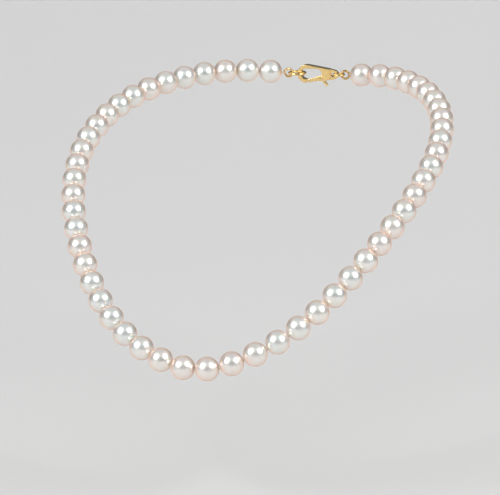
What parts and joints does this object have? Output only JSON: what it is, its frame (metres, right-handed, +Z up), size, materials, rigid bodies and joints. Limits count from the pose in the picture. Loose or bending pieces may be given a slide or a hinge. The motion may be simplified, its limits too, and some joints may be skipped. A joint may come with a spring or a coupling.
{
  "type": "pearl necklace",
  "caption": "Single strand of round drilled pearls on knotted silk, closed at the nape by a lever clasp and lying in a drop over the chest.",
  "frame": {"origin": "at the nape, midway between the two ends of the strand, inside the clasp", "axes": "+Z up, -Y forward from the nape to the chest, +X to the wearer's left; the strand is symmetric about X = 0 apart from its clasp"},
  "size_m": [0.1214, 0.153, 0.0716],
  "materials": {
    "pearl_nacre": "high lustre nacre",
    "silk": "twisted",
    "gold": "polished",
    "bullion": "fine coiled wire",
    "spring_steel": "drawn wire"
  },
  "bodies": {
    "nape": {"nape_pearls_left": "pearl_nacre", "nape_pearls_right": "pearl_nacre", "knotted_silk_thread": "silk", "bullion_loop_left": "bullion", "bullion_loop_right": "bullion", "clasp_body": "gold", "clasp_lever_pin": "gold", "clasp_lever_spring": "spring_steel"},
    "clasp_lever": {"clasp_lever": "gold"},
    "clasp_jump_ring": {"clasp_jump_ring": "gold"},
    "catch_ring": {"catch_ring": "gold"},
    "pearl_pair_24": {"pearl_left_24": "pearl_nacre", "pearl_right_24": "pearl_nacre"},
    "pearl_pair_23": {"pearl_left_23": "pearl_nacre", "pearl_right_23": "pearl_nacre"},
    "pearl_pair_22": {"pearl_left_22": "pearl_nacre", "pearl_right_22": "pearl_nacre"},
    "pearl_pair_21": {"pearl_left_21": "pearl_nacre", "pearl_right_21": "pearl_nacre"},
    "pearl_pair_20": {"pearl_left_20": "pearl_nacre", "pearl_right_20": "pearl_nacre"},
    "pearl_pair_19": {"pearl_left_19": "pearl_nacre", "pearl_right_19": "pearl_nacre"},
    "pearl_pair_18": {"pearl_left_18": "pearl_nacre", "pearl_right_18": "pearl_nacre"},
    "pearl_pair_17": {"pearl_left_17": "pearl_nacre", "pearl_right_17": "pearl_nacre"},
    "pearl_pair_16": {"pearl_left_16": "pearl_nacre", "pearl_right_16": "pearl_nacre"},
    "pearl_pair_15": {"pearl_left_15": "pearl_nacre", "pearl_right_15": "pearl_nacre"},
    "pearl_pair_14": {"pearl_left_14": "pearl_nacre", "pearl_right_14": "pearl_nacre"},
    "pearl_pair_13": {"pearl_left_13": "pearl_nacre", "pearl_right_13": "pearl_nacre"},
    "pearl_pair_12": {"pearl_left_12": "pearl_nacre", "pearl_right_12": "pearl_nacre"},
    "pearl_pair_11": {"pearl_left_11": "pearl_nacre", "pearl_right_11": "pearl_nacre"},
    "pearl_pair_10": {"pearl_left_10": "pearl_nacre", "pearl_right_10": "pearl_nacre"},
    "pearl_pair_09": {"pearl_left_09": "pearl_nacre", "pearl_right_09": "pearl_nacre"},
    "pearl_pair_08": {"pearl_left_08": "pearl_nacre", "pearl_right_08": "pearl_nacre"},
    "pearl_pair_07": {"pearl_left_07": "pearl_nacre", "pearl_right_07": "pearl_nacre"},
    "pearl_pair_06": {"pearl_left_06": "pearl_nacre", "pearl_right_06": "pearl_nacre"},
    "pearl_pair_05": {"pearl_left_05": "pearl_nacre", "pearl_right_05": "pearl_nacre"},
    "pearl_pair_04": {"pearl_left_04": "pearl_nacre", "pearl_right_04": "pearl_nacre"},
    "pearl_pair_03": {"pearl_left_03": "pearl_nacre", "pearl_right_03": "pearl_nacre"},
    "pearl_pair_02": {"pearl_left_02": "pearl_nacre", "pearl_right_02": "pearl_nacre"},
    "pearl_pair_01": {"pearl_left_01": "pearl_nacre", "pearl_right_01": "pearl_nacre"}
  },
  "joints": [
    {"name": "lever_opens", "type": "hinge", "parent": "nape", "child": "clasp_lever", "pos_m": [0.00215, 0, -0.0011], "axis": [0, 1, 0], "range_deg": [0, 18], "stiffness_Nm_per_rad": 0.01, "deforming": ["clasp_lever_spring"]},
    {"name": "jump_ring_tilts", "type": "hinge", "parent": "nape", "child": "clasp_jump_ring", "pos_m": [0.00745, 0, 0], "axis": [1, 0, 0], "range_deg": [-15, 15]},
    {"name": "catch_ring_tilts", "type": "hinge", "parent": "nape", "child": "catch_ring", "pos_m": [-0.00665, 0, 0], "axis": [1, 0, 0], "range_deg": [-15, 15]},
    {"name": "knot_pair_24_lifts", "type": "hinge", "parent": "nape", "child": "pearl_pair_24", "pos_m": [0, -0.01127, 0.00146], "axis": [-1, 0, 0], "range_deg": [0, 6], "stiffness_Nm_per_rad": 0.188, "springref_deg": 6.01, "deforming": ["knotted_silk_thread"]},
    {"name": "knot_pair_23_lifts", "type": "hinge", "parent": "pearl_pair_24", "child": "pearl_pair_23", "pos_m": [0, -0.01689, 0.0013], "axis": [-1, 0, 0], "range_deg": [0, 6], "stiffness_Nm_per_rad": 0.175, "springref_deg": 6, "deforming": ["knotted_silk_thread"]},
    {"name": "knot_pair_22_lifts", "type": "hinge", "parent": "pearl_pair_23", "child": "pearl_pair_22", "pos_m": [0, -0.02299, 0.00081], "axis": [-1, 0, 0], "range_deg": [0, 6], "stiffness_Nm_per_rad": 0.161, "springref_deg": 6, "deforming": ["knotted_silk_thread"]},
    {"name": "knot_pair_21_lifts", "type": "hinge", "parent": "pearl_pair_22", "child": "pearl_pair_21", "pos_m": [0, -0.02949, 0], "axis": [-1, 0, 0], "range_deg": [0, 6], "stiffness_Nm_per_rad": 0.147, "springref_deg": 6, "deforming": ["knotted_silk_thread"]},
    {"name": "knot_pair_20_lifts", "type": "hinge", "parent": "pearl_pair_21", "child": "pearl_pair_20", "pos_m": [0, -0.03632, -0.00111], "axis": [-1, 0, 0], "range_deg": [0, 6], "stiffness_Nm_per_rad": 0.133, "springref_deg": 5.99, "deforming": ["knotted_silk_thread"]},
    {"name": "knot_pair_19_lifts", "type": "hinge", "parent": "pearl_pair_20", "child": "pearl_pair_19", "pos_m": [0, -0.04339, -0.00251], "axis": [-1, 0, 0], "range_deg": [0, 6], "stiffness_Nm_per_rad": 0.119, "springref_deg": 5.98, "deforming": ["knotted_silk_thread"]},
    {"name": "knot_pair_18_lifts", "type": "hinge", "parent": "pearl_pair_19", "child": "pearl_pair_18", "pos_m": [0, -0.05062, -0.00421], "axis": [-1, 0, 0], "range_deg": [0, 6], "stiffness_Nm_per_rad": 0.105, "springref_deg": 6, "deforming": ["knotted_silk_thread"]},
    {"name": "knot_pair_17_lifts", "type": "hinge", "parent": "pearl_pair_18", "child": "pearl_pair_17", "pos_m": [0, -0.05795, -0.00619], "axis": [-1, 0, 0], "range_deg": [0, 6], "stiffness_Nm_per_rad": 0.0921, "springref_deg": 6, "deforming": ["knotted_silk_thread"]},
    {"name": "knot_pair_16_lifts", "type": "hinge", "parent": "pearl_pair_17", "child": "pearl_pair_16", "pos_m": [0, -0.0653, -0.00847], "axis": [-1, 0, 0], "range_deg": [0, 6], "stiffness_Nm_per_rad": 0.0797, "springref_deg": 6, "deforming": ["knotted_silk_thread"]},
    {"name": "knot_pair_15_lifts", "type": "hinge", "parent": "pearl_pair_16", "child": "pearl_pair_15", "pos_m": [0, -0.07261, -0.01103], "axis": [-1, 0, 0], "range_deg": [0, 6], "stiffness_Nm_per_rad": 0.0682, "springref_deg": 6, "deforming": ["knotted_silk_thread"]},
    {"name": "knot_pair_14_lifts", "type": "hinge", "parent": "pearl_pair_15", "child": "pearl_pair_14", "pos_m": [0, -0.07981, -0.01387], "axis": [-1, 0, 0], "range_deg": [0, 6], "stiffness_Nm_per_rad": 0.0576, "springref_deg": 6, "deforming": ["knotted_silk_thread"]},
    {"name": "knot_pair_13_lifts", "type": "hinge", "parent": "pearl_pair_14", "child": "pearl_pair_13", "pos_m": [0, -0.08686, -0.01697], "axis": [-1, 0, 0], "range_deg": [0, 6], "stiffness_Nm_per_rad": 0.048, "springref_deg": 6, "deforming": ["knotted_silk_thread"]},
    {"name": "knot_pair_12_lifts", "type": "hinge", "parent": "pearl_pair_13", "child": "pearl_pair_12", "pos_m": [0, -0.0937, -0.02033], "axis": [-1, 0, 0], "range_deg": [0, 6], "stiffness_Nm_per_rad": 0.0393, "springref_deg": 6, "deforming": ["knotted_silk_thread"]},
    {"name": "knot_pair_11_lifts", "type": "hinge", "parent": "pearl_pair_12", "child": "pearl_pair_11", "pos_m": [0, -0.10028, -0.02394], "axis": [-1, 0, 0], "range_deg": [0, 6], "stiffness_Nm_per_rad": 0.0316, "springref_deg": 6, "deforming": ["knotted_silk_thread"]},
    {"name": "knot_pair_10_lifts", "type": "hinge", "parent": "pearl_pair_11", "child": "pearl_pair_10", "pos_m": [0, -0.10658, -0.02779], "axis": [-1, 0, 0], "range_deg": [0, 6], "stiffness_Nm_per_rad": 0.0249, "springref_deg": 5.99, "deforming": ["knotted_silk_thread"]},
    {"name": "knot_pair_09_lifts", "type": "hinge", "parent": "pearl_pair_10", "child": "pearl_pair_09", "pos_m": [0, -0.11254, -0.03189], "axis": [-1, 0, 0], "range_deg": [0, 6], "stiffness_Nm_per_rad": 0.0191, "springref_deg": 6.01, "deforming": ["knotted_silk_thread"]},
    {"name": "knot_pair_08_lifts", "type": "hinge", "parent": "pearl_pair_09", "child": "pearl_pair_08", "pos_m": [0, -0.11814, -0.03622], "axis": [-1, 0, 0], "range_deg": [0, 6], "stiffness_Nm_per_rad": 0.0143, "springref_deg": 5.99, "deforming": ["knotted_silk_thread"]},
    {"name": "knot_pair_07_lifts", "type": "hinge", "parent": "pearl_pair_08", "child": "pearl_pair_07", "pos_m": [0, -0.12345, -0.04061], "axis": [-1, 0, 0], "range_deg": [0, 6], "stiffness_Nm_per_rad": 0.0102, "springref_deg": 6.02, "deforming": ["knotted_silk_thread"]},
    {"name": "knot_pair_06_lifts", "type": "hinge", "parent": "pearl_pair_07", "child": "pearl_pair_06", "pos_m": [0, -0.12846, -0.04506], "axis": [-1, 0, 0], "range_deg": [0, 6], "stiffness_Nm_per_rad": 0.00693, "springref_deg": 6, "deforming": ["knotted_silk_thread"]},
    {"name": "knot_pair_05_lifts", "type": "hinge", "parent": "pearl_pair_06", "child": "pearl_pair_05", "pos_m": [0, -0.13315, -0.04924], "axis": [-1, 0, 0], "range_deg": [0, 6], "stiffness_Nm_per_rad": 0.00431, "springref_deg": 6, "deforming": ["knotted_silk_thread"]},
    {"name": "knot_pair_04_lifts", "type": "hinge", "parent": "pearl_pair_05", "child": "pearl_pair_04", "pos_m": [0, -0.13745, -0.05315], "axis": [-1, 0, 0], "range_deg": [0, 6], "stiffness_Nm_per_rad": 0.00234, "springref_deg": 6.01, "deforming": ["knotted_silk_thread"]},
    {"name": "knot_pair_03_lifts", "type": "hinge", "parent": "pearl_pair_04", "child": "pearl_pair_03", "pos_m": [0, -0.14106, -0.05679], "axis": [-1, 0, 0], "range_deg": [0, 6], "stiffness_Nm_per_rad": 0.00106, "springref_deg": 6.01, "deforming": ["knotted_silk_thread"]},
    {"name": "knot_pair_02_lifts", "type": "hinge", "parent": "pearl_pair_03", "child": "pearl_pair_02", "pos_m": [0, -0.14392, -0.05982], "axis": [-1, 0, 0], "range_deg": [0, 6], "stiffness_Nm_per_rad": 0.000334, "springref_deg": 6, "deforming": ["knotted_silk_thread"]},
    {"name": "knot_pair_01_lifts", "type": "hinge", "parent": "pearl_pair_02", "child": "pearl_pair_01", "pos_m": [0, -0.14589, -0.06221], "axis": [-1, 0, 0], "range_deg": [0, 6], "stiffness_Nm_per_rad": 0.000034, "springref_deg": 6, "deforming": ["knotted_silk_thread"]}
  ]
}
